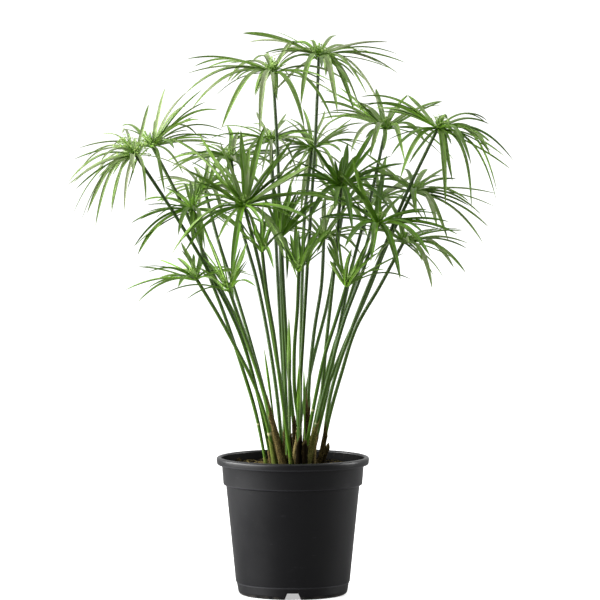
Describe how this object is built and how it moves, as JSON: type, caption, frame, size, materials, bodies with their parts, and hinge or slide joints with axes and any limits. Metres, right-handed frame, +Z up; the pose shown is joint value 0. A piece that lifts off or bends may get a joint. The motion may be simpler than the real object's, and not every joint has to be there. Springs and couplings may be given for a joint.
{
  "type": "potted umbrella sedge",
  "caption": "Clump of umbrella sedge: slender green culms topped with umbrella-shaped crowns of narrow bracts, rising from dark soil in a round black nursery pot.",
  "frame": {"origin": "middle of the pot's underside, on the surface that the pot stands on", "axes": "+Z up along the pot's axis, -Y to the front of the pictured view"},
  "size_m": [0.442, 0.351, 0.5637],
  "materials": {
    "pot_plastic": "satin black moulded plastic",
    "soil": "matt dark peat",
    "rhizome": "matt brown woody fibre",
    "culm": "smooth satin dark green stem",
    "bract": "satin green leaf with fine parallel veins",
    "shoot": "satin light green young shoot"
  },
  "bodies": {
    "root": {"pot": "pot_plastic", "soil": "soil", "rhizome": "rhizome", "stem_01": "culm", "stem_02": "culm", "stem_03": "culm", "stem_04": "culm", "stem_05": "culm", "stem_06": "culm", "stem_07": "culm", "stem_08": "culm", "stem_09": "culm", "stem_10": "culm", "stem_11": "culm", "stem_12": "culm", "stem_13": "culm", "stem_14": "culm", "stem_15": "culm", "stem_16": "culm", "stem_17": "culm", "stem_18": "culm", "stem_19": "culm", "stem_20": "culm", "stem_21": "culm", "stem_22": "culm", "stem_23": "culm", "stem_24": "culm", "stem_25": "culm", "crown_01": "bract", "crown_02": "bract", "crown_03": "bract", "crown_04": "bract", "crown_05": "bract", "crown_06": "bract", "crown_07": "bract", "crown_08": "bract", "crown_09": "bract", "crown_10": "bract", "crown_11": "bract", "crown_12": "bract", "crown_13": "bract", "crown_14": "bract", "crown_15": "bract", "crown_16": "bract", "crown_17": "bract", "crown_18": "bract", "crown_19": "bract", "crown_20": "bract", "crown_21": "bract", "crown_22": "bract", "crown_23": "bract", "crown_24": "bract", "crown_25": "bract", "shoot_1": "shoot", "shoot_2": "shoot", "shoot_3": "shoot", "shoot_4": "shoot", "shoot_5": "shoot"}
  },
  "joints": []
}
